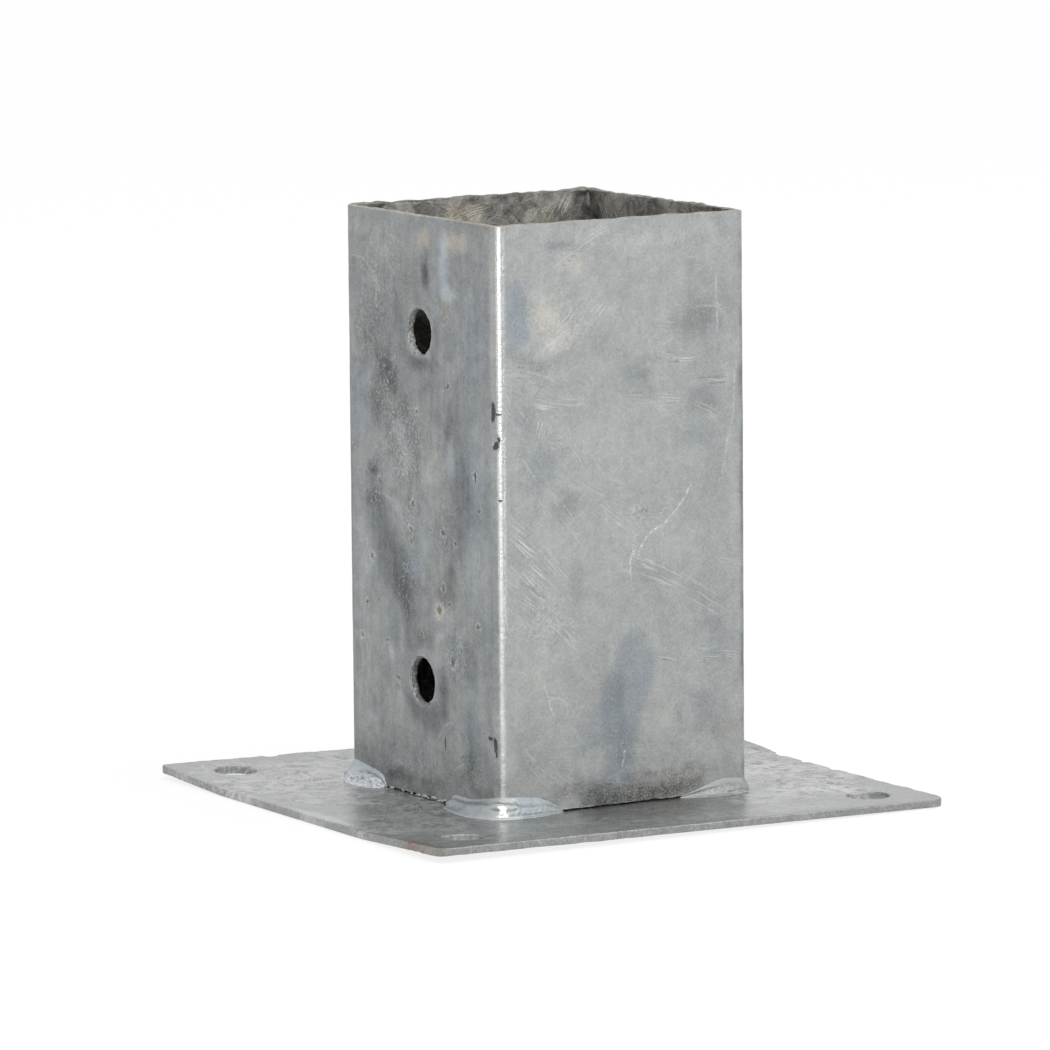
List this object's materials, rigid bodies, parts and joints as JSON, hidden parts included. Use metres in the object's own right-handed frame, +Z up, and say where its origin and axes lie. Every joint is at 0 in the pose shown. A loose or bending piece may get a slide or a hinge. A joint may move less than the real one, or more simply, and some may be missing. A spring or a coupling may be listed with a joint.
{
  "type": "timber post base",
  "caption": "Bolt-down post shoe: a square socket folded from sheet steel, bead-welded at its corners to a thin square plate with anchor holes, hot-dip galvanised.",
  "frame": {"origin": "on the underside of the plate, at its centre", "axes": "+Z up the socket, out of its mouth; X along the bolt holes through the two side walls; -Y out of the plain front wall"},
  "size_m": [0.153, 0.153, 0.1529],
  "materials": {
    "galvanised_sheet": "hot-dip galvanised, dull mottled grey with cloudy patches, streaks and pits",
    "galvanised_weld": "hot-dip galvanised weld bead, smooth blue-grey zinc over soft ripples"
  },
  "bodies": {
    "root": {"base_plate": "galvanised_sheet", "socket": "galvanised_sheet", "seam_weld": "galvanised_weld", "weld_front": "galvanised_weld", "weld_right": "galvanised_weld", "weld_back": "galvanised_weld", "weld_left": "galvanised_weld"}
  },
  "joints": []
}
